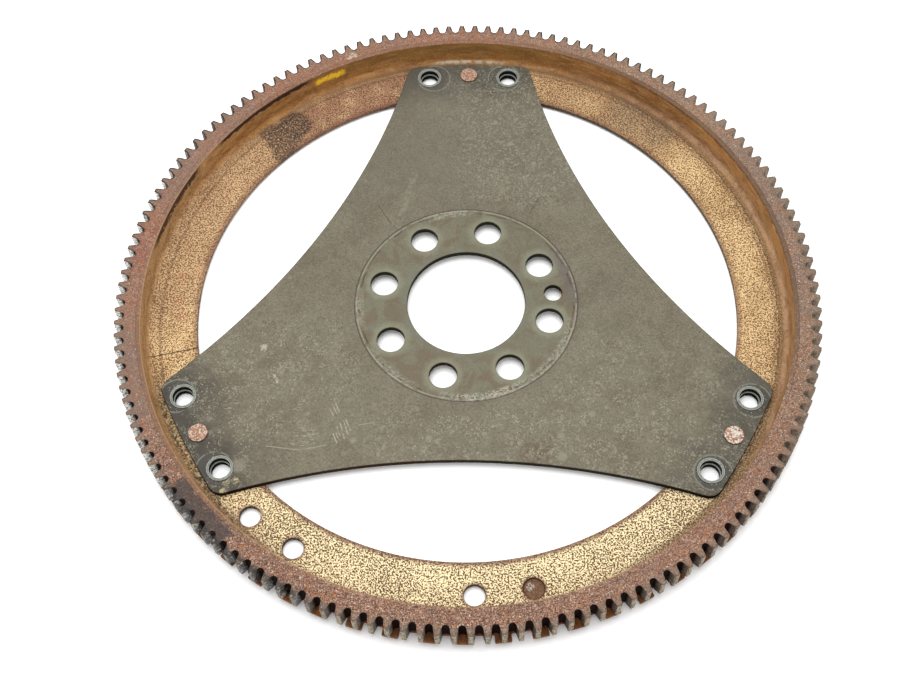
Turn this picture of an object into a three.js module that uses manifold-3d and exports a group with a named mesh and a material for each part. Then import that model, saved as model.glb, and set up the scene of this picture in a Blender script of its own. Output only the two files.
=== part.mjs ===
// Starter drive plate of an automatic gearbox, in millimetres, +Z up.
//
// A three-armed sheet-steel plate bolts to the crankshaft flange. Its arms are riveted to a pressed
// carrier ring, whose upright wall holds the toothed starter ring gear and, below that, a thin notched
// signal ring. The origin is on the turning axis, in the plane of the rivet tails, the lowest points.
// The engine side faces up and the first arm points along +Y.

import * as THREE from 'three';
import * as BufferGeometryUtils from 'three/addons/utils/BufferGeometryUtils.js';
import Module from 'manifold-3d';

// ---- driving dimensions -------------------------------------------------------------------------

const ARMS = 3;
const FIRST_ARM_DEG = 90;

// ring gear: 12 diametral pitch, full-depth teeth
const TEETH = 148;
const MODULE = 25.4 / 12;
const TOOTH_DEG = 1.32; // azimuth of one tooth's centre
const GEAR_TIP_R = MODULE * (TEETH + 2) / 2;
const GEAR_PITCH_R = MODULE * TEETH / 2;
const TOOTH_DEPTH = 2.157 * MODULE;
const GEAR_ROOT_R = GEAR_TIP_R - TOOTH_DEPTH;
const PRESSURE_DEG = 14.5;
const FLANK_WEAR = 0.2; // each flank stands this far inside its nominal place
const TOOTH_FOOT = { height: 0.3 * MODULE, flare: 0.3 * MODULE }; // the rounded foot, as a chamfer
const GEAR_BORE_R = 149.1;
const GEAR_BOTTOM_Z = 4.8;
const GEAR_TOP_Z = 16.0;
const GEAR_TIP_CHAMFER = 0.3;
const GEAR_BLANK_MARGIN = 0.2; // keeps the blank's facets outside the teeth's tips

// signal ring: a flat ring under the gear, with square notches in its rim
const TABS = 65;
const TAB_DEG = 4.66; // azimuth of one tab's centre
const TAB_WIDTH_DEG = 2.55;
const SIGNAL_TAB_R = 158.4;
const SIGNAL_NOTCH_R = 154.9;
const SIGNAL_BORE_R = 149.1;
const SIGNAL_THICKNESS = 1.2;

// carrier ring: flat flange, bend and upright wall of one pressed sheet
const CARRIER_SHEET = 2.2;
const CARRIER_BOTTOM_Z = 1.0;
const FLANGE_INNER_R = 123.6;
const WALL_INNER_R = 146.6;
const WALL_TOP_Z = 15.5;
const BEND_INNER_R = 2.6;
const RIM_BREAK = 0.4; // broken edge along the wall's rim

// drive plate
const PLATE_SHEET = 2.8;
const PLATE_BORE_R = 27.0;
const PLATE_WAIST_R = 79.0; // axis to the hollow side's nearest point
const ARM_CORNER_R = 143.0;
const ARM_CORNER_DEG = 12.2; // each corner's azimuth, from the arm's own
const ARM_END_BULGE = 1.3; // how far the arm's end stands outside the line between its corners
const ARM_CORNER_TRIM = 5.0;

// crankshaft interface
const CRANK_BOLTS = 8;
const CRANK_BOLT_CIRCLE_R = 39.2;
const CRANK_BOLT_DEG = -14.5; // azimuth of the first bolt hole
const CRANK_BOLT_HOLE_R = 6.25;
const DOWEL_CIRCLE_R = 40.2;
const DOWEL_DEG = 7.0;
const DOWEL_HOLE_R = 4.1;

// fasteners through each arm and the carrier flange
const FASTENER_CIRCLE_R = 133.9;
const BUSH_OFFSET_DEG = 8.53; // each bush's azimuth, from the arm's own
const BUSH_OUTER_R = 5.95;
const BUSH_MOUTH_R = 4.65;
const BUSH_BORE_R = 4.1;
const BUSH_STEP_DEPTH = 3.0;
const BUSH_STAND = 0.35; // how far a bush stands proud of each sheet
const BUSH_EDGE = 0.35;
const RIVET_HEAD_R = 4.3;
const RIVET_SHANK_R = 3.2;
const RIVET_HEAD_HEIGHT = 0.9;
const RIVET_EDGE = 0.3;
const HOLE_CLEARANCE = 0.12;

// holes drilled in the flange to balance the assembly
const BALANCE_CIRCLE_R = 137.8;
const BALANCE_HOLE_R = 4.5;
const BALANCE_HOLES_DEG = [229.1, 239.0, 272.0];
const BALANCE_DIMPLE_DEG = 282.2;
const BALANCE_DIMPLE_DEPTH = 1.3;

// facets
const RING_FACETS = 96;
const BORE_FACETS = 60;
const BOLT_FACETS = 28;
const FASTENER_FACETS = 20;
const SIDE_FACETS = 18; // along each hollow side of the plate
const END_FACETS = 4;
const CORNER_FACETS = 5;
const CUT_MARGIN = 1; // how far a cutting tool runs past the face it cuts
const WELD_DISTANCE = 1e-4;

// ---- heights that follow from them --------------------------------------------------------------

const FLANGE_TOP_Z = CARRIER_BOTTOM_Z + CARRIER_SHEET;
const PLATE_TOP_Z = FLANGE_TOP_Z + PLATE_SHEET;
const WALL_OUTER_R = WALL_INNER_R + CARRIER_SHEET;
const ARM_DEGS = Array.from({ length: ARMS }, (_, k) => FIRST_ARM_DEG + k * 360 / ARMS);

// ---- materials ----------------------------------------------------------------------------------

function steel(color, roughness, metalness) {
  return new THREE.MeshStandardMaterial({ color, roughness, metalness });
}

const plateSteel = steel(0x6f6d5f, 0.55, 0.6);
const carrierSteel = steel(0xb98f52, 0.6, 0.5);
const gearSteel = steel(0x8b6c60, 0.75, 0.4);
const signalSteel = steel(0x9c5f35, 0.8, 0.3);
const rivetSteel = steel(0xb97c63, 0.6, 0.5);
const bushSteel = steel(0xa3aaa0, 0.4, 0.8);

// ---- geometry helpers ---------------------------------------------------------------------------

const wasm = await Module();
wasm.setup();

const rad = THREE.MathUtils.degToRad;

function polar(radius, degrees) {
  return new THREE.Vector2(radius * Math.cos(rad(degrees)), radius * Math.sin(rad(degrees)));
}

// A closed three.js geometry as a manifold solid. Triangles that shrink to an edge at a pole go.
function toSolid(geometry) {
  const bare = geometry.clone();
  bare.deleteAttribute('normal');
  bare.deleteAttribute('uv');
  const merged = BufferGeometryUtils.mergeVertices(bare, WELD_DISTANCE);
  const index = merged.index.array;
  const kept = [];
  for (let i = 0; i < index.length; i += 3) {
    const [a, b, c] = [index[i], index[i + 1], index[i + 2]];
    if (a !== b && b !== c && c !== a) kept.push(a, b, c);
  }
  return new wasm.Manifold(new wasm.Mesh({
    numProp: 3,
    vertProperties: new Float32Array(merged.attributes.position.array),
    triVerts: new Uint32Array(kept),
  }));
}

function toGeometry(solid) {
  const mesh = solid.getMesh();
  const geometry = new THREE.BufferGeometry();
  geometry.setAttribute('position', new THREE.BufferAttribute(new Float32Array(mesh.vertProperties), 3));
  geometry.setIndex(new THREE.BufferAttribute(new Uint32Array(mesh.triVerts), 1));
  geometry.computeVertexNormals();
  return geometry;
}

// A closed ring or disc turned about Z from [radius, z] points that run anticlockwise.
function turned(points, facets, startDegrees = 0) {
  const profile = points.map(([r, z]) => new THREE.Vector2(r, z));
  if (points[0][0] > 0) profile.push(profile[0].clone());
  const geometry = new THREE.LatheGeometry(profile, facets);
  geometry.rotateX(Math.PI / 2);
  geometry.rotateZ(rad(startDegrees));
  return geometry;
}

function extruded(shape, bottom, top) {
  const geometry = new THREE.ExtrudeGeometry(shape, {
    depth: top - bottom,
    bevelEnabled: false,
    curveSegments: 1,
  });
  geometry.translate(0, 0, bottom);
  return geometry;
}

function circlePoints(radius, facets, startDegrees = 0) {
  return Array.from({ length: facets }, (_, k) => polar(radius, startDegrees + k * 360 / facets));
}

// A round cutter standing on the XY plane at a polar position.
function drill(holeR, circleR, degrees, bottom, top, facets) {
  const geometry = new THREE.CylinderGeometry(holeR, holeR, top - bottom, facets);
  geometry.rotateX(Math.PI / 2);
  const centre = polar(circleR, degrees);
  geometry.translate(centre.x, centre.y, (bottom + top) / 2);
  return toSolid(geometry);
}

function cutAll(solid, cutters) {
  return cutters.reduce((rest, cutter) => rest.subtract(cutter), solid);
}

function bushAzimuths(armDegrees) {
  return [armDegrees + BUSH_OFFSET_DEG, armDegrees - BUSH_OFFSET_DEG];
}

// Holes for every bush and rivet, through everything between two heights.
function fastenerHoles(bottom, top) {
  const bushHoleR = BUSH_OUTER_R + HOLE_CLEARANCE;
  const rivetHoleR = RIVET_SHANK_R + HOLE_CLEARANCE;
  return ARM_DEGS.flatMap((arm) => [
    drill(rivetHoleR, FASTENER_CIRCLE_R, arm, bottom, top, FASTENER_FACETS),
    ...bushAzimuths(arm).map((azimuth) =>
      drill(bushHoleR, FASTENER_CIRCLE_R, azimuth, bottom, top, FASTENER_FACETS)),
  ]);
}

// ---- ring gear ----------------------------------------------------------------------------------

// One tooth's flank as [radius, half width]: tip, flank, and the rounded foot.
function toothFlank() {
  const pitchHalf = Math.PI * MODULE / 4 - FLANK_WEAR;
  const slope = Math.tan(rad(PRESSURE_DEG));
  const halfAt = (r) => pitchHalf - (r - GEAR_PITCH_R) * slope;
  const footR = GEAR_ROOT_R + TOOTH_FOOT.height;
  const gapHalf = Math.PI * GEAR_ROOT_R / TEETH;
  return [
    [GEAR_ROOT_R, gapHalf - TOOTH_FOOT.flare],
    [footR, halfAt(footR)],
    [GEAR_TIP_R, halfAt(GEAR_TIP_R)],
  ];
}

function toothedOutline() {
  const flank = toothFlank();
  const points = [];
  const offset = ([radius, half]) => THREE.MathUtils.radToDeg(half / radius);
  for (let k = 0; k < TEETH; k += 1) {
    const centre = TOOTH_DEG + k * 360 / TEETH;
    flank.forEach((p) => points.push(polar(p[0], centre - offset(p))));
    [...flank].reverse().forEach((p) => points.push(polar(p[0], centre + offset(p))));
  }
  return points;
}

// The turned blank that the teeth are cut from: its rim is chamfered above and below.
function gearBlank() {
  const rimR = GEAR_TIP_R + GEAR_BLANK_MARGIN;
  const cut = GEAR_TIP_CHAMFER + GEAR_BLANK_MARGIN;
  return turned([
    [GEAR_BORE_R - CUT_MARGIN, GEAR_BOTTOM_Z],
    [rimR - cut, GEAR_BOTTOM_Z],
    [rimR, GEAR_BOTTOM_Z + cut],
    [rimR, GEAR_TOP_Z - cut],
    [rimR - cut, GEAR_TOP_Z],
    [GEAR_BORE_R - CUT_MARGIN, GEAR_TOP_Z],
  ], TEETH, TOOTH_DEG + 180 / TEETH);
}

function ringGear() {
  const shape = new THREE.Shape(toothedOutline());
  shape.holes.push(new THREE.Path(circlePoints(GEAR_BORE_R, RING_FACETS)));
  const toothed = toSolid(extruded(shape, GEAR_BOTTOM_Z - CUT_MARGIN, GEAR_TOP_Z + CUT_MARGIN));
  return toGeometry(toothed.intersect(toSolid(gearBlank())));
}

// ---- signal ring --------------------------------------------------------------------------------

function signalRing() {
  const pitch = 360 / TABS;
  const points = [];
  for (let k = 0; k < TABS; k += 1) {
    const left = TAB_DEG + k * pitch - TAB_WIDTH_DEG / 2;
    const right = left + TAB_WIDTH_DEG;
    points.push(polar(SIGNAL_NOTCH_R, left), polar(SIGNAL_TAB_R, left));
    points.push(polar(SIGNAL_TAB_R, right), polar(SIGNAL_NOTCH_R, right));
  }
  const shape = new THREE.Shape(points);
  shape.holes.push(new THREE.Path(circlePoints(SIGNAL_BORE_R, RING_FACETS)));
  return toGeometry(toSolid(extruded(shape, GEAR_BOTTOM_Z - SIGNAL_THICKNESS, GEAR_BOTTOM_Z)));
}

// ---- carrier ring -------------------------------------------------------------------------------

// Points of a quarter bend, from pointing down (270 degrees) to pointing outwards (360).
function bendPoints(radius) {
  const centreR = WALL_INNER_R - BEND_INNER_R;
  const centreZ = FLANGE_TOP_Z + BEND_INNER_R;
  return [270, 300, 330, 360].map((degrees) => [
    centreR + radius * Math.cos(rad(degrees)),
    centreZ + radius * Math.sin(rad(degrees)),
  ]);
}

function carrierRing() {
  const blank = turned([
    [FLANGE_INNER_R, CARRIER_BOTTOM_Z],
    ...bendPoints(BEND_INNER_R + CARRIER_SHEET),
    [WALL_OUTER_R, WALL_TOP_Z - RIM_BREAK],
    [WALL_OUTER_R - RIM_BREAK, WALL_TOP_Z],
    [WALL_INNER_R + RIM_BREAK, WALL_TOP_Z],
    [WALL_INNER_R, WALL_TOP_Z - RIM_BREAK],
    ...bendPoints(BEND_INNER_R).reverse(),
    [FLANGE_INNER_R, FLANGE_TOP_Z],
  ], RING_FACETS);
  const below = CARRIER_BOTTOM_Z - CUT_MARGIN;
  const above = FLANGE_TOP_Z + CUT_MARGIN;
  const balance = (azimuth, floor) =>
    drill(BALANCE_HOLE_R, BALANCE_CIRCLE_R, azimuth, floor, above, FASTENER_FACETS);
  return toGeometry(cutAll(toSolid(blank), [
    ...BALANCE_HOLES_DEG.map((azimuth) => balance(azimuth, below)),
    balance(BALANCE_DIMPLE_DEG, FLANGE_TOP_Z - BALANCE_DIMPLE_DEPTH),
    ...fastenerHoles(below, above),
  ]));
}

// ---- drive plate --------------------------------------------------------------------------------

// Points on the shallow curve between two corners whose middle stands off their chord by bulge,
// without the stretch at each end that the rounded corner takes.
function bowed(from, to, bulge, count) {
  const chord = to.clone().sub(from);
  const outward = new THREE.Vector2(chord.y, -chord.x).normalize();
  const skipped = ARM_CORNER_TRIM / chord.length();
  return Array.from({ length: count + 1 }, (_, i) => {
    const t = skipped + (1 - 2 * skipped) * i / count;
    return from.clone().addScaledVector(chord, t).addScaledVector(outward, 4 * bulge * t * (1 - t));
  });
}

// The points inside a rounded corner, without its two ends.
function rounded(before, corner, after) {
  return new THREE.QuadraticBezierCurve(before, corner, after).getPoints(CORNER_FACETS).slice(1, -1);
}

function plateOutline() {
  const chordR = ARM_CORNER_R * Math.cos(rad(180 / ARMS - ARM_CORNER_DEG));
  const sides = ARM_DEGS.map((arm) => {
    const right = polar(ARM_CORNER_R, arm - ARM_CORNER_DEG);
    const left = polar(ARM_CORNER_R, arm + ARM_CORNER_DEG);
    const nextRight = polar(ARM_CORNER_R, arm + 360 / ARMS - ARM_CORNER_DEG);
    const end = bowed(right, left, ARM_END_BULGE, END_FACETS);
    const hollow = bowed(left, nextRight, PLATE_WAIST_R - chordR, SIDE_FACETS);
    return { left, nextRight, end, hollow };
  });
  return sides.flatMap(({ left, nextRight, end, hollow }, k) => {
    const nextEnd = sides[(k + 1) % ARMS].end;
    return [
      ...end,
      ...rounded(end.at(-1), left, hollow[0]),
      ...hollow,
      ...rounded(hollow.at(-1), nextRight, nextEnd[0]),
    ];
  });
}

function drivePlate() {
  const shape = new THREE.Shape(plateOutline());
  shape.holes.push(new THREE.Path(circlePoints(PLATE_BORE_R, BORE_FACETS)));
  const below = FLANGE_TOP_Z - CUT_MARGIN;
  const above = PLATE_TOP_Z + CUT_MARGIN;
  const boltHoles = Array.from({ length: CRANK_BOLTS }, (_, k) => {
    const azimuth = CRANK_BOLT_DEG + k * 360 / CRANK_BOLTS;
    return drill(CRANK_BOLT_HOLE_R, CRANK_BOLT_CIRCLE_R, azimuth, below, above, BOLT_FACETS);
  });
  const dowelHole = drill(DOWEL_HOLE_R, DOWEL_CIRCLE_R, DOWEL_DEG, below, above, FASTENER_FACETS);
  const blank = toSolid(extruded(shape, FLANGE_TOP_Z, PLATE_TOP_Z));
  return toGeometry(cutAll(blank, [...boltHoles, dowelHole, ...fastenerHoles(below, above)]));
}

// ---- bushes and rivets --------------------------------------------------------------------------

// A sleeve pressed through both sheets, with a wide mouth on the engine side and a ledge below it.
function bush() {
  const bottom = CARRIER_BOTTOM_Z - BUSH_STAND;
  const top = PLATE_TOP_Z + BUSH_STAND;
  const ledge = top - BUSH_STEP_DEPTH;
  return toGeometry(toSolid(turned([
    [BUSH_BORE_R, bottom],
    [BUSH_OUTER_R - BUSH_EDGE, bottom],
    [BUSH_OUTER_R, bottom + BUSH_EDGE],
    [BUSH_OUTER_R, top - BUSH_EDGE],
    [BUSH_OUTER_R - BUSH_EDGE, top],
    [BUSH_MOUTH_R + BUSH_EDGE, top],
    [BUSH_MOUTH_R, top - BUSH_EDGE],
    [BUSH_MOUTH_R, ledge],
    [BUSH_BORE_R, ledge],
  ], FASTENER_FACETS)));
}

// A rivet with the same flat head, broken round its edge, above the plate and below the flange.
function rivet() {
  const top = PLATE_TOP_Z + RIVET_HEAD_HEIGHT;
  return toGeometry(toSolid(turned([
    [0, 0],
    [RIVET_HEAD_R - RIVET_EDGE, 0],
    [RIVET_HEAD_R, RIVET_EDGE],
    [RIVET_HEAD_R, CARRIER_BOTTOM_Z],
    [RIVET_SHANK_R, CARRIER_BOTTOM_Z],
    [RIVET_SHANK_R, PLATE_TOP_Z],
    [RIVET_HEAD_R, PLATE_TOP_Z],
    [RIVET_HEAD_R, top - RIVET_EDGE],
    [RIVET_HEAD_R - RIVET_EDGE, top],
    [0, top],
  ], FASTENER_FACETS)));
}

// ---- assembly -----------------------------------------------------------------------------------

const driveplate = new THREE.Group();

function addPart(name, geometry, material, place = new THREE.Vector2()) {
  const mesh = new THREE.Mesh(geometry, material);
  mesh.name = name;
  mesh.position.set(place.x, place.y, 0);
  driveplate.add(mesh);
}

addPart('drive_plate', drivePlate(), plateSteel);
addPart('carrier_ring', carrierRing(), carrierSteel);
addPart('ring_gear', ringGear(), gearSteel);
addPart('signal_ring', signalRing(), signalSteel);
ARM_DEGS.forEach((arm, k) => {
  addPart(`rivet_${k + 1}`, rivet(), rivetSteel, polar(FASTENER_CIRCLE_R, arm));
  bushAzimuths(arm).forEach((azimuth, side) => {
    const name = `bush_${2 * k + side + 1}`;
    addPart(name, bush(), bushSteel, polar(FASTENER_CIRCLE_R, azimuth));
  });
});

export default driveplate;
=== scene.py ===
import math

import bmesh
import bpy
from mathutils import Matrix, Vector, noise


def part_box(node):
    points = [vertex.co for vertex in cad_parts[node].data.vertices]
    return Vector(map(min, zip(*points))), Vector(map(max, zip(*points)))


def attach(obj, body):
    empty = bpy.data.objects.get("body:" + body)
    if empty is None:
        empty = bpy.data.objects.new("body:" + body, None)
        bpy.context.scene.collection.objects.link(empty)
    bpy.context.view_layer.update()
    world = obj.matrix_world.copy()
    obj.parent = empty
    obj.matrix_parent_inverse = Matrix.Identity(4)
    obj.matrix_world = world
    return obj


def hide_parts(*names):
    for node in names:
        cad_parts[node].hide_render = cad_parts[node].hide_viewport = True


# The looks of a riveted drive plate and its starter ring gear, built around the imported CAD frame.
# Shapes and paint are worked out in millimetres and degrees, and become metres as a mesh is made.

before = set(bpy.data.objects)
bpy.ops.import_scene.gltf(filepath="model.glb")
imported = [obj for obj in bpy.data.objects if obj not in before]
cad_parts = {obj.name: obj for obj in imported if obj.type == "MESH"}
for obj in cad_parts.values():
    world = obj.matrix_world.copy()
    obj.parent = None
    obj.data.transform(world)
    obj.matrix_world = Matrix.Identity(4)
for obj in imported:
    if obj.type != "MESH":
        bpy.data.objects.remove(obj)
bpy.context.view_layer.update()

MM = 0.001


def heights(node):
    """The lowest and highest level of a CAD node, in millimetres."""
    low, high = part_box(node)
    return low.z / MM, high.z / MM


# ---- dimensions ----

ARM_DEGS = (90, 210, 330)

GEAR_LOW, GEAR_HIGH = heights("ring_gear")
TEETH = 148
MODULE = 25.4 / 12
TOOTH_DEG = 1.32
GEAR_TIP_R = MODULE * (TEETH + 2) / 2
GEAR_PITCH_R = MODULE * TEETH / 2
GEAR_ROOT_R = GEAR_TIP_R - 2.157 * MODULE
FLANK_WEAR = 0.2
FLANK_SLOPE = math.tan(math.radians(14.5))
TOOTH_HALF = math.pi * MODULE / 4 - FLANK_WEAR  # half a tooth's width at the pitch circle
GEAR_BORE_R = 148.85
GEAR_TIP_CHAMFER = 0.3
GEAR_EDGE = 0.2
TOOTH_CORNER = 0.16
TOOTH_BULGE = 0.05
TOOTH_FOOT_R = 1.0
BORE_EDGE = 0.02

SIGNAL_LOW, SIGNAL_HIGH = heights("signal_ring")
TABS = 65
TAB_DEG = 4.66
TAB_WIDTH_DEG = 2.55
SIGNAL_TAB_R = 158.4
SIGNAL_NOTCH_R = 154.9
SIGNAL_BORE_R = 149.1
SIGNAL_EDGE = 0.18
TAB_CORNER = 0.5
TAB_DRAFT_DEG = 0.03

CARRIER_LOW, _ = heights("carrier_ring")
RIM_HIGH = GEAR_HIGH - 0.03  # flush with the gear, so that no seam shows
CARRIER_SHEET = 2.2
FLANGE_HIGH = CARRIER_LOW + CARRIER_SHEET
FLANGE_INNER_R = 123.6
WALL_INNER_R = 146.6
WALL_OUTER_R = WALL_INNER_R + CARRIER_SHEET
BEND_INNER_R = 2.6
CARRIER_FACETS = 480
FLANGE_EDGE_LOW = 0.2
FLANGE_EDGE_HIGH = 0.45
RIM_EDGE_INNER = 0.5
RIM_EDGE_OUTER = 0.02

PLATE_LOW, PLATE_HIGH = heights("drive_plate")
PLATE_BORE_R = 27.0
PLATE_WAIST_R = 79.0
ARM_CORNER_R = 143.0
ARM_CORNER_DEG = 12.2
ARM_END_BULGE = 1.3
ARM_CORNER_TRIM = 5.0
PLATE_ROLL = 0.45  # the rounded edge on the punch's side
PLATE_BURR = 0.12  # the sharper edge on the die's side

CRANK_BOLTS = 8
CRANK_BOLT_CIRCLE_R = 39.2
CRANK_BOLT_DEG = -14.5
CRANK_BOLT_HOLE_R = 6.25
DOWEL_CIRCLE_R = 40.2
DOWEL_DEG = 7.0
DOWEL_HOLE_R = 4.1

FASTENER_CIRCLE_R = 133.9
BUSH_OFFSET_DEG = 8.53
BUSH_LOW, BUSH_HIGH = heights("bush_1")
BUSH_OUTER_R = 5.95
BUSH_MOUTH_R = 4.65
BUSH_BORE_R = 4.1
BUSH_STEP_DEPTH = 3.0
BUSH_RIM = 0.24
BUSH_GROOVE = 0.13
BUSH_FIT = 0.04
RIVET_LOW, RIVET_HIGH = heights("rivet_1")
RIVET_HEAD_R = 4.3
RIVET_SHANK_R = 3.2
RIVET_EDGE = 0.32
RIVET_FIT = 0.05
FASTENER_HOLE_EDGE = 0.15

BALANCE_CIRCLE_R = 137.8
BALANCE_HOLE_R = 4.5
BALANCE_HOLES_DEG = (229.1, 239.0, 272.0)
BALANCE_DIMPLE_DEG = 282.2
BALANCE_DIMPLE_DEPTH = 1.3
BALANCE_EDGE_LOW = 0.15
BALANCE_EDGE_HIGH = 0.3

# ---- mesh helpers ----

FLARE_DEG = 65  # a hole's rounded edge turns this far, and then runs straight out of the sheet


def polar(radius, degrees, height=0.0):
    angle = math.radians(degrees)
    return Vector((radius * math.cos(angle), radius * math.sin(angle), height))


def steps(count):
    """Evenly spaced numbers from 0 to 1, both included."""
    return [i / count for i in range(count + 1)]


def quarter(count):
    """Evenly spaced angles of a quarter turn, in radians."""
    return [math.radians(90 * t) for t in steps(count)]


def circle(radius, level, azimuths):
    return [polar(radius, a, level) for a in azimuths]


def shrunk(outline, inset, level=0.0):
    """A level outline moved inwards by inset, and up by level."""
    ring = []
    for i, point in enumerate(outline):
        along = outline[(i + 1) % len(outline)] - outline[i - 1]
        inward = Vector((-along.y, along.x, 0)).normalized()
        ring.append(point + inward * inset + Vector((0, 0, level)))
    return ring


def skinned(rings):
    """A closed body with quads from each ring of points to the next, and from the last to the first."""
    bm = bmesh.new()
    loops = [[bm.verts.new(point) for point in ring] for ring in rings]
    for loop, following in zip(loops, loops[1:] + loops[:1]):
        for i, vert in enumerate(loop):
            j = (i + 1) % len(loop)
            bm.faces.new((vert, loop[j], following[j], following[i]))
    bmesh.ops.remove_doubles(bm, verts=bm.verts, dist=1e-5)
    bmesh.ops.recalc_face_normals(bm, faces=bm.faces)
    return bm


def turned(profile, count):
    """A body turned about the axis from points given as (radius, height)."""
    return skinned([[polar(r, 360 * k / count, z) for k in range(count)] for r, z in profile])


def rounded_edge(radius, height, edge, outward, upward, count=5):
    """Profile points round a square corner at (radius, height), from its side to its face."""
    centre_r = radius - outward * edge
    centre_z = height - upward * edge
    return [
        (centre_r + outward * edge * math.cos(a), centre_z + upward * edge * math.sin(a))
        for a in quarter(count)
    ]


def moved(bm, place):
    bmesh.ops.translate(bm, verts=bm.verts, vec=place)
    return bm


def joined(meshes):
    """One bmesh that holds several."""
    whole = bmesh.new()
    for part in meshes:
        mesh = bpy.data.meshes.new("joined")
        part.to_mesh(mesh)
        whole.from_mesh(mesh)
        bpy.data.meshes.remove(mesh)
    return whole


def hole_cutter(place, radius, low, high, lip_low, lip_high, count=72):
    """A round cutter through a sheet from low to high. It flares at both faces, to round their edges."""
    arc = [math.radians(FLARE_DEG * t) for t in steps(5)]
    def flare(lip):
        points = [(radius + lip * (1 - math.cos(a)), lip * (1 - math.sin(a))) for a in arc]
        points.append((points[-1][0] + lip * math.sin(arc[-1]), points[-1][1] - lip * math.cos(arc[-1])))
        return points
    below = [(r, low + depth) for r, depth in reversed(flare(lip_low))]
    above = [(r, high - depth) for r, depth in flare(lip_high)]
    profile = [(0, below[0][1]), *below, *above, (0, above[-1][1])]
    return moved(turned(profile, count), place)


def linked(name, data):
    """A new object in the scene."""
    obj = bpy.data.objects.new(name, data)
    bpy.context.scene.collection.objects.link(obj)
    return obj


def as_object(name, bm):
    mesh = bpy.data.meshes.new(name)
    bm.to_mesh(mesh)
    return linked(name, mesh)


def without(bm, cutters):
    """A bmesh with the cutters taken away."""
    body = as_object("body", bm)
    tool = as_object("tool", joined(cutters))
    cut = body.modifiers.new("cut", "BOOLEAN")
    cut.operation = "DIFFERENCE"
    cut.solver = "EXACT"
    cut.object = tool
    bpy.context.view_layer.update()
    mesh = bpy.data.meshes.new_from_object(body.evaluated_get(bpy.context.evaluated_depsgraph_get()))
    result = bmesh.new()
    result.from_mesh(mesh)
    for obj in (body, tool):
        bpy.data.objects.remove(obj)
    bmesh.ops.remove_doubles(result, verts=result.verts, dist=1e-4)
    return result


def crease(bm, degrees=38):
    """Shades curved faces smooth, level faces flat, and keeps every edge sharper than the angle."""
    bm.normal_update()
    for face in bm.faces:
        face.smooth = abs(face.normal.z) < 0.9995
    for edge in bm.edges:
        edge.smooth = edge.calc_face_angle(math.pi) < math.radians(degrees)


def piece(node, bm, surface):
    """The fine piece that stands for a CAD node, from a bmesh in millimetres."""
    crease(bm)
    bmesh.ops.scale(bm, vec=Vector((MM, MM, MM)), verts=bm.verts)
    obj = as_object(node + "_fine", bm)
    obj.data.materials.append(surface.material)
    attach(obj, "root")
    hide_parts(node)
    return obj


# ---- shader helpers ----

LIT = 0.53  # a surface's own colour, as a share of how it looks under the studio light


def rgb(code, lit=LIT):
    """The colour of a surface that looks like six hex digits when it is lit, in linear light."""
    parts = [int(code[i:i + 2], 16) / 255 for i in (0, 2, 4)]
    linear = [c / 12.92 if c <= 0.04045 else ((c + 0.055) / 1.055) ** 2.4 for c in parts]
    return (*[lit * c for c in linear], 1.0)


class Field:
    """A number or colour that varies over a surface: one output of a shader node."""

    def __init__(self, surface, socket):
        self.surface = surface
        self.socket = socket

    def __add__(self, other):
        return self.surface.math("ADD", self, other)

    def __sub__(self, other):
        return self.surface.math("SUBTRACT", self, other)

    def __rsub__(self, other):
        return self.surface.math("SUBTRACT", other, self)

    def __mul__(self, other):
        return self.surface.math("MULTIPLY", self, other)

    def __abs__(self):
        return self.surface.math("ABSOLUTE", self)

    __radd__ = __add__
    __rmul__ = __mul__


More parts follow.
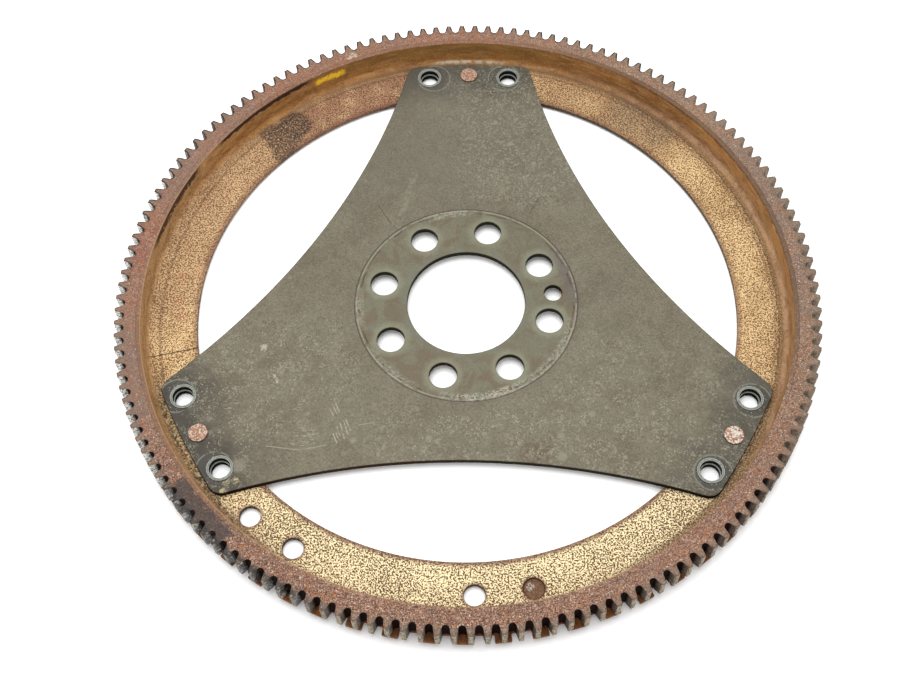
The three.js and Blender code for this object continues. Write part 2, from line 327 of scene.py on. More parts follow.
class Surface:
    """A material painted in the part's own frame. Its lengths are in millimetres."""

    def __init__(self, name):
        self.material = bpy.data.materials.new(name)
        self.material.use_nodes = True
        self.tree = self.material.node_tree
        self.shader = self.tree.nodes["Principled BSDF"]
        coordinates = self.add("ShaderNodeTexCoord")
        metres = Field(self, coordinates.outputs["Object"])
        self.place = self.vector("MULTIPLY", metres, (1 / MM,) * 3)
        self.x, self.y, self.z = self.split(self.place)
        self.radius = self.length(self.x, self.y)
        facing_x, facing_y, up = self.split(Field(self, coordinates.outputs["Normal"]))
        self.ahead = self.math("DIVIDE", self.x * facing_y - self.y * facing_x, self.radius)
        self.side = self.smooth(abs(up), 0.75, 0.35)

    def add(self, kind, **settings):
        node = self.tree.nodes.new(kind)
        for name, value in settings.items():
            setattr(node, name, value)
        return node

    def plug(self, node, values):
        """Fills a node's inputs, given by name or number, with fields, numbers or colours."""
        for key, value in values.items():
            socket = node.inputs[key]
            if isinstance(value, Field):
                self.tree.links.new(value.socket, socket)
            else:
                socket.default_value = rgb(value) if isinstance(value, str) else value

    def split(self, vector):
        node = self.add("ShaderNodeSeparateXYZ")
        self.plug(node, {0: vector})
        return [Field(self, out) for out in node.outputs]

    def math(self, operation, *values, clamp=False):
        node = self.add("ShaderNodeMath", operation=operation, use_clamp=clamp)
        self.plug(node, dict(enumerate(values)))
        return Field(self, node.outputs[0])

    def length(self, across, along):
        return self.math("SQRT", across * across + along * along)

    def vector(self, operation, *values):
        node = self.add("ShaderNodeVectorMath", operation=operation)
        self.plug(node, dict(enumerate(values)))
        return Field(self, node.outputs[0])

    def noise(self, size, detail=3.0, rough=0.6, warp=0.0, stretch=(1, 1, 1), seed=0.0):
        """Noise from 0 to 1 with features of one size, longer by stretch along X, Y and Z."""
        squeeze = tuple(1 / (size * s) for s in stretch)
        at = self.vector("MULTIPLY_ADD", self.place, squeeze, (seed, seed * 1.7, seed * 0.6))
        node = self.add("ShaderNodeTexNoise")
        self.plug(node, {"Vector": at, "Scale": 1.0, "Detail": detail})
        self.plug(node, {"Roughness": rough, "Distortion": warp})
        return Field(self, node.outputs[0])

    def patches(self, size, level, width=0.08, **shape):
        """1 where a noise of one size stands above a level, with edges that take up the width."""
        return self.smooth(self.noise(size, **shape), level, level + width)

    def dots(self, spacing, size, seed=0.0):
        """1 on round dots of up to one radius, scattered about a spacing apart."""
        at = self.vector("MULTIPLY_ADD", self.place, (1 / spacing,) * 3, (seed,) * 3)
        node = self.add("ShaderNodeTexVoronoi")
        self.plug(node, {"Vector": at, "Scale": 1.0})
        distance = Field(self, node.outputs["Distance"])
        return self.smooth(distance, 1.2 * size / spacing, 0.5 * size / spacing)

    def smooth(self, value, start, end):
        """0 where value is at start, 1 where it is at end, and a soft step between them."""
        node = self.add("ShaderNodeMapRange", interpolation_type="SMOOTHSTEP")
        self.plug(node, {"Value": value, "From Min": start, "From Max": end})
        return Field(self, node.outputs["Result"])

    def beyond(self, start, end):
        """0 where the radius is start, 1 where it is end, and a soft step between them."""
        return self.smooth(self.radius, start, end)

    def band(self, value, middle, half_width):
        """1 where value is at the middle, falling to 0 at half_width on either side."""
        return self.smooth(abs(value - middle), half_width, half_width * 0.3)

    def layers(self, base, *coats):
        """A base colour under coats given as (colour, amount)."""
        for colour, amount in coats:
            node = self.add("ShaderNodeMix", data_type="RGBA")
            self.plug(node, {6: base, 7: colour, 0: amount})
            base = Field(self, node.outputs[2])
        return base

    def away(self, x, y):
        """Level distance from a point."""
        return self.length(self.x - x, self.y - y)

    def spot(self, x, y, size, ragged=0.0, soft=0.3, grain=3.0):
        """1 on a round patch, with an edge that wanders by ragged."""
        distance = self.away(x, y)
        if ragged:
            distance = distance + (self.noise(grain, 4, 0.65, seed=x + y) - 0.5) * (4 * ragged)
        return self.smooth(distance, size * (1 + soft), size * (1 - soft))

    def spots(self, marks, *edge):
        """1 on any of several spots."""
        return self.most(*[self.spot(*mark, *edge) for mark in marks])

    def stroke(self, start, end, width, ragged=0.4):
        """1 along a level line between two points."""
        start, end = Vector(start), Vector(end)
        span = end - start
        dx = self.x - start.x
        dy = self.y - start.y
        along = self.math("DIVIDE", dx * span.x + dy * span.y, span.length_squared, clamp=True)
        distance = self.length(dx - along * span.x, dy - along * span.y)
        distance = distance + (self.noise(1.2, 2, 0.6, seed=start.x) - 0.5) * ragged
        return self.smooth(distance, width, width * 0.35)

    def strokes(self, marks, *edge):
        """1 along any of several lines."""
        return self.most(*[self.stroke(*ends, *edge) for ends in marks])

    def folded(self, count, degrees):
        """The angle to the nearest of evenly spaced directions, one of them given, in radians."""
        azimuth = self.math("ARCTAN2", self.y, self.x) - math.radians(degrees)
        return self.math("PINGPONG", azimuth + 2 * math.pi, math.pi / count)

    def sector(self, degrees, half_width, soft=6.0):
        """1 within an angle on either side of a direction from the axis."""
        toward = polar(1, degrees)
        cosine = self.math("DIVIDE", self.x * toward.x + self.y * toward.y, self.radius)
        edge = math.cos(math.radians(half_width + soft / 2))
        inside = math.cos(math.radians(max(half_width - soft / 2, 0)))
        return self.smooth(cosine, edge, inside)

    def most(self, *values):
        """The highest of several numbers."""
        highest = values[0]
        for value in values[1:]:
            highest = self.math("MAXIMUM", highest, value)
        return highest

    def finish(self, colour, roughness, relief, metallic, specular=0.4):
        """Wires the shader. Relief is a height in millimetres."""
        bump = self.add("ShaderNodeBump")
        self.plug(bump, {"Strength": 1.0, "Distance": MM, "Height": relief})
        normal = Field(self, bump.outputs["Normal"])
        self.plug(self.shader, {"Base Color": colour, "Roughness": roughness, "Metallic": metallic})
        self.plug(self.shader, {"Specular IOR Level": specular, "Normal": normal})
        return self


# ---- drive plate's look ----

WITNESS_R = 50.9
BOLT_HEAD_R = 8.1
# where each converter bolt's head sat, sideways from its bush
BOLT_HEAD_OFFSETS = ((2.2, -0.3), (-1.9, -0.3), (-2.4, -0.4), (-2.6, 0.2), (0.9, -1.0), (0.9, -0.8))

# listed marks, as (x, y, radius) or a line's two ends
STAINS = (
    (42.2, -77.1, 2.0), (55.6, -56.9, 1.3), (60.6, -74.0, 0.9), (61.9, -72.0, 0.7), (68.9, -77.3, 1.1),
    (88.7, -54.6, 1.0), (41.7, -67.5, 1.5), (51.4, -60.5, 0.9), (61.9, -53.5, 0.9), (72.1, -45.1, 0.7),
    (-15.3, -68.7, 1.4), (-11.8, -70.2, 1.1), (-48.1, -70.1, 1.4), (-37.0, -76.4, 1.0),
    (-68.8, -57.3, 0.9), (-63.6, -40.0, 0.7), (-96.9, -82.3, 3.0),
)
CHIPS = ((-90.8, -24.3, 1.2), (-84.4, -38.6, 0.48), (-83.3, -41.3, 0.72))
STREAK = ((-26.0, 71.6), (-32.7, 41.7))
SCRIBES = (((-42.5, 53.5), (-36.1, 42.9)), ((34.4, 58.0), (29.5, 48.6)))
CRUSTS = ((-101.4, -90.2, 1.5), (-97.6, -89.0, 1.6), (-102.4, -94.0, 1.4))
HATCHING = (
    ((-58.1, -52.5), (-56.1, -56.9)), ((-56.8, -52.1), (-55.0, -56.2)), ((-59.1, -55.0), (-57.3, -58.4)),
    ((-54.3, -61.8), (-51.9, -69.2)), ((-52.8, -60.8), (-50.5, -67.0)), ((-51.7, -60.3), (-49.7, -65.1)),
    ((-55.5, -63.7), (-53.9, -68.0)), ((-57.0, -67.0), (-55.0, -71.3)), ((-55.7, -66.6), (-54.2, -69.9)),
)
SCORES = (
    ((-46.3, -62.7), (-39.4, -61.4)), ((-85.7, -72.9), (-71.2, -74.7)), ((-68.7, -74.2), (-59.7, -72.3)),
    ((60.9, -20.0), (62.5, -23.1)), ((-84.9, -38.0), (-83.3, -41.3)),
)


def bolt_hole_distance(s):
    """Distance from the nearest crankshaft bolt hole's centre, by folding the eight into one."""
    folded = s.folded(CRANK_BOLTS, CRANK_BOLT_DEG)
    along = s.radius * s.math("COSINE", folded) - CRANK_BOLT_CIRCLE_R
    return s.length(s.radius * s.math("SINE", folded), along)


def bolt_head_marks(s):
    """The dark ring and the pale line that each converter bolt left a little off its bush."""
    rings = []
    lines = []
    for k, (dx, dy) in enumerate(BOLT_HEAD_OFFSETS):
        side = BUSH_OFFSET_DEG if k % 2 == 0 else -BUSH_OFFSET_DEG
        bush = polar(FASTENER_CIRCLE_R, ARM_DEGS[k // 2] + side)
        away = s.away(bush.x + dx, bush.y + dy)
        rings.append(s.smooth(away, BOLT_HEAD_R + 0.2, BOLT_HEAD_R - 1.1))
        lines.append(s.band(away, BOLT_HEAD_R, 0.45))
    return s.most(*rings), s.most(*lines)


def scratches(s, size, length, seed, level):
    """Thin random scratches along two directions."""
    one = s.patches(size, level, detail=2, warp=0.2, stretch=(length, 1, 1), seed=seed)
    two = s.patches(size, level, detail=2, warp=0.3, stretch=(1, length, 1), seed=seed + 5)
    return s.most(one, two)


def witness(s):
    """Marks of the crankshaft flange: where it sat, its outline, and the fretting along it."""
    wander = s.radius + (s.noise(5, seed=6) - 0.5) * 1.6
    seat = s.smooth(wander, WITNESS_R + 0.2, WITNESS_R - 0.9)
    groove = s.most(s.band(s.radius, WITNESS_R + 0.2, 0.42),
                    s.band(wander, WITNESS_R - 1.7, 0.4) * s.patches(9, 0.44, seed=41))
    ridge = s.band(s.radius, WITNESS_R - 0.6, 0.5) * s.patches(4, 0.42, seed=42)
    where = s.most(s.sector(281, 18, 22), s.sector(100, 9, 14) * 0.7, s.sector(325, 20, 24) * 0.6,
                   s.sector(228, 14, 16) * 0.5, s.sector(185, 10, 10) * 0.5)
    fretting = s.patches(0.85, 0.47, detail=4, rough=0.75, seed=9)
    fretted = where * s.band(wander, WITNESS_R - 1.9, 2.6) * fretting
    return seat, groove, ridge, fretted


def plate_surface():
    """Olive-grey phosphated steel: cloudy, flecked, scratched, and marked by the crankshaft flange, with
    painted shade on its edges and hole walls.
    """
    s = Surface("phosphated_steel")
    clouds = s.patches(34, 0.36, 0.32, detail=5, warp=0.6, seed=3)
    brown = s.patches(17, 0.47, 0.2, detail=4, warp=0.5, seed=19)
    bloom = s.patches(8, 0.46, 0.2, detail=5, rough=0.65, warp=0.5, seed=8)
    grain = s.noise(0.75, rough=0.7, seed=1)
    curls = s.patches(1.7, 0.53, 0.07, detail=3, warp=1.3, seed=12)
    arm = s.smooth(s.radius + (s.noise(14, seed=4) - 0.5) * 30, 112, 136)
    upper = s.smooth(s.y, 40, 75)
    flecked = s.most(s.sector(291, 52, 50), s.sector(205, 16, 20), s.sector(75, 18, 20) * 0.8)
    flecked = flecked * s.beyond(52, 60) * s.patches(10, 0.4, 0.16, seed=14)
    flecks = s.dots(1.35, 0.3, 2) * flecked
    spatter = s.dots(5.2, 0.7, 5) * s.beyond(50, 60) * s.patches(16, 0.42, 0.2, seed=24)
    curled = curls * s.most(flecked, s.sector(72, 20, 16) * s.beyond(56, 70))

    seat, groove, ridge, fretted = witness(s)
    hole_distance = bolt_hole_distance(s)
    halo = s.smooth(hole_distance + (s.noise(3, seed=2) - 0.5) * 2.5, 10.5, 6.8)
    hub_brown = seat * s.patches(9, 0.47, 0.1, detail=4, rough=0.6, warp=0.6, seed=31)
    purple = s.sector(18, 17, 14) * s.band(s.radius, 48.5, 4.5)
    streak = s.stroke(*STREAK, 2.4, 1.6) * s.patches(2.0, 0.42, 0.2, seed=44)
    scribe = s.strokes(SCRIBES, 0.4)

    stains = s.spots(STAINS, 0.6, 0.4, 1.0)
    chips = s.spots(CHIPS, 2.0, 0.25, 0.9)
    hatch = s.strokes(HATCHING, 0.42)
    hatch = hatch * s.patches(1.3, 0.41, 0.12, detail=4, rough=0.7, warp=0.5, seed=60)
    scores = s.strokes(SCORES, 0.3, 0.3)
    scuff = s.most(s.spot(-69.0, -69.0, 5.4, 1.6, 0.5), s.spot(-103, -53.5, 3.5, 1.2, 0.5) * 0.6)
    scuff = scuff * s.patches(0.7, 0.55, 0.05, detail=3, rough=0.65, warp=0.9, stretch=(4, 1, 1), seed=32)
    fine = scratches(s, 0.5, 16, 40, 0.69) * s.patches(22, 0.45, 0.2, seed=21)
    heads, head_lines = bolt_head_marks(s)
    rusty = s.most(s.spot(31, -76.5, 6.5, 2.0, 0.6), s.spot(-96, -70, 22, 5, 0.5) * 0.25)
    crust = s.spots(CRUSTS, 0.5) * s.patches(0.7, 0.45, rough=0.7, seed=5)

    colour = s.layers(
        "776f5b",
        ("837c69", clouds * 0.5),
        ("645740", brown * 0.45),
        ("8f8770", bloom * 0.48),
        ("504837", s.smooth(grain, 0.48, 0.34) * 0.6),
        ("9b947e", s.smooth(grain, 0.54, 0.68) * 0.6),
        ("6e685b", upper * 0.25),
        ("403c33", arm * (s.sector(212, 14, 10) * 0.25 + 0.62)),
        ("73745b", seat * 0.42),
        ("6f5d43", hub_brown * 0.6),
        ("969a80", halo * seat * 0.42),
        ("7c8171", s.beyond(33, 27.5) * 0.3),
        ("695b5b", purple * 0.45),
        ("332d23", groove * 0.7),
        ("aaa591", ridge * 0.6),
        ("c3bfac", fretted * 0.85),
        ("a49e89", curled * 0.6),
        ("8f8976", streak * 0.75),
        ("4e483a", scribe * 0.7),
        ("5c3f29", rusty * s.patches(2.0, 0.46, seed=45) * 0.55),
        ("373530", heads * (0.62 - s.sector(90, 20, 10) * 0.35)),
        ("8e8f80", head_lines * s.patches(3, 0.4, seed=17) * 0.75),
        ("b6b09a", flecks * 0.9),
        ("a09986", s.most(spatter * 0.5, stains * 0.55)),
        ("b2ab93", s.most(hatch * 0.85, scores * 0.6, scuff, fine * 0.5)),
        ("c4bea5", chips * 0.85),
        ("c8bb8d", crust * 0.9),
        # painted shade: the plate's cut edges and hole walls are painted near-black
        ("171410", s.side * 0.88),
        ("492817", s.side * s.sector(240, 22, 16) * s.patches(2.5, 0.42, seed=46) * 0.7),
    )
    rough = 0.55 + bloom * 0.08 - halo * 0.08 + fretted * 0.15 - seat * 0.04 - heads * 0.1
    relief = grain * 0.06 + curls * 0.02 - groove * 0.05
    return s.finish(colour, rough, relief, 0.15, 0.3 * (1 - s.side))


# ---- gear's and carrier's looks ----

# listed marks, as (x, y, radius, raggedness)
SOOT = (
    (-117.0, -98.5, 6.0, 2.4), (-111.0, -104.5, 6.5, 2.4),
    (-105.5, -111.0, 5.5, 2.2), (-99.0, -116.0, 4.0, 2.0),
)
RED_SPOTS = ((-132.8, 14.8, 2.6, 1.0), (-132.7, 2.0, 2.4, 1.0), (-131.4, -6.3, 2.8, 1.2))
GREY_SPOTS = ((80, 110, 11, 2.5), (93, 100, 9, 2.5))
FLANGE_SCORE = ((-144.0, -28.2), (-121.0, -22.9))

# a dark smudge, as (strength, x, y, radius, raggedness, softness)
SMUDGES = (
    (1.0, -87.0, 104.0, 8.5, 1.4, 0.15), (0.9, -92.0, 97.0, 9.5, 1.4, 0.15),
    (0.8, -90.5, 87.5, 6.5, 1.2, 0.2), (0.8, -101.0, 101.5, 5.0, 1.4, 0.2),
)


def gear_skin(s):
    """Colour and relief of the gear's grainy rust, which runs on over the carrier's rim."""
    grain = s.noise(0.62, 3, 0.65, seed=2)
    lumps = s.patches(1.5, 0.47, 0.14, seed=3)
    near = s.most(s.sector(252, 48, 40), s.sector(325, 75, 50) * 0.72, 0.5)
    right = s.sector(25, 50, 50)
    broad = s.patches(22, 0.4, 0.2, seed=7)
    orange = s.patches(1.3, 0.55, seed=13) * s.patches(9, 0.44, 0.14, seed=15)
    reddish = s.patches(0.9, 0.55, seed=16) * s.patches(7, 0.5, 0.14, seed=18)
    glints = s.dots(1.7, 0.36, 4) * s.patches(8, 0.42, 0.14, seed=20) * near
    coarse = s.patches(2.8, 0.5, 0.1, detail=4, rough=0.65, warp=0.4, seed=51) * near
    pits = s.patches(1.1, 0.57, 0.04, rough=0.7, seed=52) * near
    rubbed = s.patches(2.2, 0.55, 0.1, detail=4, rough=0.65, seed=53) * near
    grey = s.most(s.sector(147, 10, 10), s.sector(197, 9, 8), s.sector(15, 20, 16) * 0.7)
    colour = s.layers(
        "a57b65",
        ("b07a5c", s.sector(100, 60, 50) * 0.5),
        ("a09078", right * 0.6),
        ("8f7264", broad * 0.45),
        ("8a5c48", lumps * 0.5),
        ("3c231a", s.smooth(grain, 0.49, 0.42) * near * 0.8),
        ("f3ccaa", s.smooth(grain, 0.54, 0.6) * near * 0.7),
        ("6a4432", coarse * 0.4),
        ("e2bb9d", rubbed * 0.5),
        ("2c1812", pits * 0.7),
        ("85766a", grey * 0.35),
        ("bf6f2f", orange * 0.75),
        ("8a3524", reddish * 0.55),
        ("efe0cd", glints * 0.9),
    )
    return colour, grain * 0.2 + lumps * 0.08


def tooth_edge(s):
    """Distance in from the nearest flank or root on the gear's flat faces."""
    folded = s.folded(TEETH, TOOTH_DEG)
    from_flank = (GEAR_PITCH_R - s.radius) * FLANK_SLOPE + TOOTH_HALF - s.radius * folded
    below = s.beyond(GEAR_ROOT_R + 1.3, GEAR_ROOT_R + 0.8)  # the flanks end at the foot
    across = s.radius * (math.pi / TEETH - folded)
    from_root = s.length(across, s.radius - GEAR_ROOT_R - TOOTH_FOOT_R) - TOOTH_FOOT_R
    return s.math("MINIMUM", from_flank + below * 4, from_root)


def gear_surface():
    """Mauve-brown rusted gear steel: grainy face, worn teeth, red-black roots deepened with painted shade,
    one oily stretch; painted shade along the tooth outlines and lower edges, paler right-hand flanks
    painted as if lit, painted reflections on the polished flanks and painted glints on the oil.
    """
    s = Surface("rusted_gear_steel")
    skin, relief = gear_skin(s)
    teeth = s.beyond(154.0, 156.2)
    streaks = s.patches(0.7, 0.47, 0.1, detail=3, stretch=(1, 1, 3), seed=22)
    outer = s.side * s.beyond(151, 153)
    # root: the tooth roots, painted red-black for their rust and for painted shade
    root = outer * s.smooth(s.radius + (s.noise(1.2, seed=23) - 0.5) * 0.8, 156.9, 155.3)
    front = s.side * s.beyond(157.9, 158.4)
    worked = s.side * s.smooth(s.ahead, 0.35, 0.7) * s.beyond(155.2, 156.0)
    polish = s.most(s.sector(187, 34, 16), s.sector(231, 14, 10) * 0.7, s.sector(0, 40, 16) * 0.3, 0.12)
    # foot: painted shade along the lower edge of the gear's sides
    foot = outer * s.smooth(s.z, GEAR_LOW + 0.9, GEAR_LOW + 0.3)
    border = s.math("MINIMUM", tooth_edge(s), GEAR_TIP_R - s.radius)
    border = border + (s.noise(0.9, seed=54) - 0.5) * 0.3
    # outline: painted shade in a dark band along the tooth edges on the flat faces, strongest on the far
    # side
    outline = s.smooth(border, 0.95, 0.5) * (1 - s.side) * s.most(s.sector(112, 62, 30), 0.15)
    # painted light: the flanks on the right are painted paler, as if lit, and their roots less dark
    lit_right_flanks = s.sector(12, 42, 14)
    # patches on the polished drive flanks that carry a painted reflection, near-white
    polish_reflections = s.patches(0.8, 0.46, 0.05, detail=4, rough=0.7, seed=24)
    edge = s.smooth(s.radius + (s.noise(1.5, seed=11) - 0.5) * 1.2, 157.6, 158.6)

    oil = s.sector(233, 15, 8) * s.patches(4, 0.38, 0.14, detail=4, rough=0.65, seed=21)
    soot = s.spots(SOOT)
    bare = s.spot(-58.5, 137.2, 3.0, 1.2) * s.patches(1.2, 0.44, seed=25)
    crimson = s.sector(171, 5, 4) * s.patches(1.8, 0.5, detail=4, rough=0.7, seed=27)

    colour = s.layers(
        skin,
        ("8c7f6f", teeth * 0.42),
        ("9a3426", crimson * 0.6),
        ("3a3331", soot * 0.8),
        ("6e6355", edge * (1 - s.side) * 0.4),
        ("cabb9c", front * 0.8),
        ("6b5444", outer * (1 - front) * 0.8),
        ("2b1e17", outer * streaks * 0.75),
        ("4b433c", worked * polish * 0.8),
        # painted reflection of the white surroundings on the polished, worn drive flanks
        (rgb("fffdf6", 0.75), worked * polish * polish_reflections),
        # painted light: paler flanks on the right-hand side
        ("bba58b", outer * (1 - streaks * 0.6) * lit_right_flanks * 0.9),
        # painted shade with rust in the tooth roots, lighter where the right-hand flanks are painted as lit
        ("1b0b08", root * (0.95 - lit_right_flanks * 0.85)),
        # painted shade along the tooth outlines
        ("261d18", outline * 0.92),
        # painted shade along the gear's lower edge
        ("2a1c14", foot * 0.75),
        ("17130f", oil * teeth * 0.85),
        # painted glints: pale dots on the oily teeth
        ("b9b5ab", oil * teeth * s.dots(2.2, 0.6, 8) * 0.6),
        ("d8c4aa", bare * 0.8),
    )
    rough = 0.68 - oil * teeth * 0.3 - soot * 0.12 - worked * polish * 0.25
    return s.finish(colour, rough, relief, worked * polish * 0.4, 0.25 * (1 - root) + 0.02)


def carrier_surface():
    """Golden chromated sheet with dark corrosion speckle on the flange and rust on the wall, painted shade
    in the balance holes, a painted glint in the dimple and a painted highlight along the rim's inner edge.
    """
    s = Surface("speckled_chromate_steel")
    near = s.sector(275, 52, 44)
    left = s.sector(190, 42, 24)
    wall = s.smooth(s.radius - s.most(near * 2.0, left * 1.1), 143.2, 145.8)
    right = s.sector(0, 60, 40)
    density = (s.noise(20, seed=2) - 0.5) * 0.12 + (near - 1) * 0.008
    speck = s.smooth(s.noise(0.68, 3, 0.5, 0.4, seed=4) + density, 0.5, 0.53)
    fine_speck = s.smooth(s.noise(0.42, 2, 0.6, seed=7) + density, 0.56, 0.64)
    tone = s.patches(15, 0.4, 0.26, detail=4, seed=9)
    pink = s.sector(116, 15, 14) * s.patches(11, 0.26, 0.24, seed=11)
    upper = s.sector(135, 45, 40)
    wander = s.radius + (s.noise(4, seed=13) - 0.5) * 2.4
    lip = s.smooth(wander, 126.6, 124.4)
    foot = s.smooth(wander, 140.0, 141.8)
    foot_line = s.band(wander, 140.6, 1.1)
    fillet = s.smooth(wander, 141.4, 143.6)
    far_side = s.most(s.sector(25, 88, 24), s.sector(218, 20, 16), near * 0.4)
    reddish = s.patches(1.2, 0.56, seed=14) * s.beyond(133, 140)

    holes = [polar(BALANCE_CIRCLE_R, a) for a in (*BALANCE_HOLES_DEG, BALANCE_DIMPLE_DEG)]
    ragged = (s.noise(2, seed=3) - 0.5) * 2.0
    rust_rings = s.most(*[s.smooth(s.away(p.x, p.y) + ragged, 6.2, 4.9) for p in holes])
    # painted shade on the walls of the balance holes
    hole_walls = s.most(*[s.smooth(s.away(p.x, p.y), 4.75, 4.55) for p in holes[:-1]])
    dimple_away = s.away(holes[-1].x, holes[-1].y)
    dimple = s.smooth(dimple_away, 4.75, 4.55)
    dimple_glint = s.spot(holes[-1].x - 1.6, holes[-1].y + 1.2, 1.7, 0.5)
    dimple_glint = dimple_glint * s.patches(0.7, 0.46, seed=47)
    cut_edge = s.side * s.beyond(123.8, 123.65) * (0.85 - s.sector(138, 40, 16) * 0.6)

    dirt = s.noise(1.0, 4, 0.75, seed=23)
    smudge = s.most(*[s.spot(*mark) * strength for strength, *mark in SMUDGES])
    smudge = smudge * s.smooth(dirt, 0.43, 0.5)
    grey = s.spots(GREY_SPOTS, 0.5) * s.smooth(dirt, 0.42, 0.56)
    score = s.stroke(*FLANGE_SCORE, 0.42, 0.25)
    red = s.spots(RED_SPOTS) * s.patches(1.0, 0.5, seed=48)
    crumbs = s.patches(1.1, 0.5, 0.06, seed=49)
    crusted = s.sector(212, 16, 8) * s.band(s.radius, 143.0, 2.6)
    chalk = s.sector(90, 6.8, 3.0) * s.band(s.z + (s.noise(3, seed=61) - 0.5) * 1.6, 3.6, 0.8)
    chalk = chalk * s.patches(2.6, 0.38, 0.22, detail=4, rough=0.7, seed=50)

    flange_colour = s.layers(
        rgb("f6d39a", 0.74),
        (rgb("ffedbe", 0.78), near * 0.9),
        ("d8ab72", tone * (1 - near) * 0.5),
        ("cfa27c", upper * 0.6),
        ("b98a6c", pink * 0.85),
        ("b58a66", s.sector(60, 17, 16) * 0.5),
        ("9a7a50", right * (1 - near) * 0.16),
        ("8d5f38", fine_speck * 0.6),
        ("a9623c", s.patches(0.6, 0.54, 0.04, seed=56) * 0.45),
        ("5c3a18", speck * 0.82),
        ("5a3c17", speck * near * 0.7),
        ("9c4f3a", reddish * 0.5),
        ("a8452b", red * 0.7),
        ("b58f62", foot * (1 - s.most(near, left, right)) * 0.5),
        ("84603c", fillet * far_side * 0.75),
        ("5d3f25", s.band(wander, 142.2, 0.8) * right * 0.6),
        ("6e4a30", foot_line * (1 - near) * 0.4),
        ("7d4e39", lip * (near * 0.3 + 0.5)),
        ("8a5a40", rust_rings * 0.6),
        ("7a5138", dimple * 0.85),
        ("3f2a20", s.band(dimple_away, 4.5, 0.4) * 0.8),
        ("e6ddd0", dimple_glint * 0.85),
        # painted shade in the balance holes
        ("2f2620", hole_walls * 0.9),
        ("332c29", smudge * 0.88),
        ("5c554c", grey * 0.55),
        ("3a261c", score * 0.8),
        ("33281c", crusted * crumbs * 0.75),
        ("dccba0", crusted * s.dots(1.9, 0.7, 6) * 0.8),
        ("3b362c", cut_edge),
    )

    clumps = s.patches(4.5, 0.44, 0.16, detail=4, rough=0.65, warp=0.6, stretch=(2.5, 2.5, 1), seed=27)
    stripes = s.patches(2.0, 0.5, 0.12, detail=3, stretch=(5, 5, 1), seed=29)
    ragged_z = s.z + (s.noise(3.5, rough=0.7, seed=33) - 0.5) * 5
    blotches = s.sector(161, 8, 4) * s.smooth(ragged_z, 11.2, 12.4)
    under_gear = s.most(s.sector(134, 11, 3), s.sector(161, 9, 3)) * s.smooth(ragged_z, 12.9, 13.8)
    thin_line = s.sector(30, 26, 22) * s.smooth(ragged_z, 14.2, 15.4) * 0.55
    blotches = blotches * s.patches(1.8, 0.42, 0.06, detail=4, rough=0.7, seed=35)
    crust = wall * s.most(blotches, under_gear, thin_line)
    yellow = s.sector(118.5, 3.0, 1.2) * wall * s.band(s.z + (s.noise(2, seed=36) - 0.5) * 4, 11.2, 2.6)
    yellow = yellow * s.patches(1.6, 0.33, 0.12, seed=37)
    wall_grain = s.noise(0.8, 4, 0.75, 0.3, seed=38)
    rougher = s.most(left, near, 0.45)
    orange = s.sector(10, 45, 30) * s.band(s.z, 11.5, 3.2)
    wall_colour = s.layers(
        "d29a5c",
        ("c68744", s.sector(95, 60, 40) * 0.9),
        ("e0ac74", left * 0.7),
        ("c6a285", right * s.smooth(s.z, 9.0, 6.0) * 0.6),
        ("cc8a4a", orange * 0.4),
        ("8e6134", s.sector(60, 16, 16) * 0.35),
        ("8a5426", clumps * 0.5),
        ("e6b87c", stripes * 0.35),
        ("5e3416", s.smooth(wall_grain, 0.48, 0.38) * rougher * 0.7),
        ("f4d3a0", s.smooth(wall_grain, 0.53, 0.63) * rougher * 0.6),
        ("876a32", s.sector(97, 22, 14) * s.smooth(s.z, 7, 12) * 0.4),
        ("2e140b", crust * 0.94),
        (rgb("ffcf2c", 0.8), yellow * 0.95),
        ("efe2c4", chalk * 0.95),
        ("cbb089", crusted * s.dots(1.9, 0.7, 6) * 0.6),
    )
    skin, skin_relief = gear_skin(s)
    rim = s.smooth(s.z, RIM_HIGH - 0.45, RIM_HIGH - 0.1)
    # painted highlight: a pale tan line along the rim's inner edge
    rim_edge_highlight = s.beyond(147.4, 146.9) * s.sector(195, 50, 30) * 0.7
    rim_colour = s.layers(
        skin,
        ("8f5f3a", s.sector(90, 40, 30) * 0.4),
        ("6f5036", s.sector(28, 42, 30) * 0.7),
        ("8a6344", s.sector(208, 24, 14) * 0.6),
        ("c4996b", rim_edge_highlight),
    )
    colour = s.layers(flange_colour, (wall_colour, wall), (rim_colour, rim * wall))
    rough = 0.62 + speck * 0.15 - wall * 0.1 + crust * 0.2
    relief = (tone * 0.03 - speck * (1 - wall) * 0.07 + clumps * wall * 0.06 - score * 0.08
              + wall_grain * wall * 0.1 + smudge * 0.03 + crusted * crumbs * 0.1
              + skin_relief * rim * wall)
    return s.finish(colour, rough, relief, 0.05, 0.25)


def signal_surface():
    """Orange rust on a thin stamped ring, with painted shade along the lower edge of its rim."""
    s = Surface("rusted_signal_steel")
    grain = s.noise(0.8, 4, 0.7, seed=3)
    patches = s.patches(2.6, 0.45, 0.16, detail=4, rough=0.65, warp=0.4, seed=6)
    dark = s.patches(1.6, 0.52, detail=4, rough=0.7, seed=9)
    colour = s.layers(
        "94592c",
        ("c47a38", patches * 0.7),
        ("5f3519", s.smooth(grain, 0.5, 0.6) * 0.6),
        ("37190e", dark * 0.6),
        # painted shade along the lower edge of the rim
        ("231711", s.side * s.smooth(s.z, SIGNAL_LOW + 0.9, SIGNAL_LOW + 0.4) * 0.85),
    )
    return s.finish(colour, 0.72 + patches * 0.1, grain * 0.16 + patches * 0.05, 0.1, 0.3)


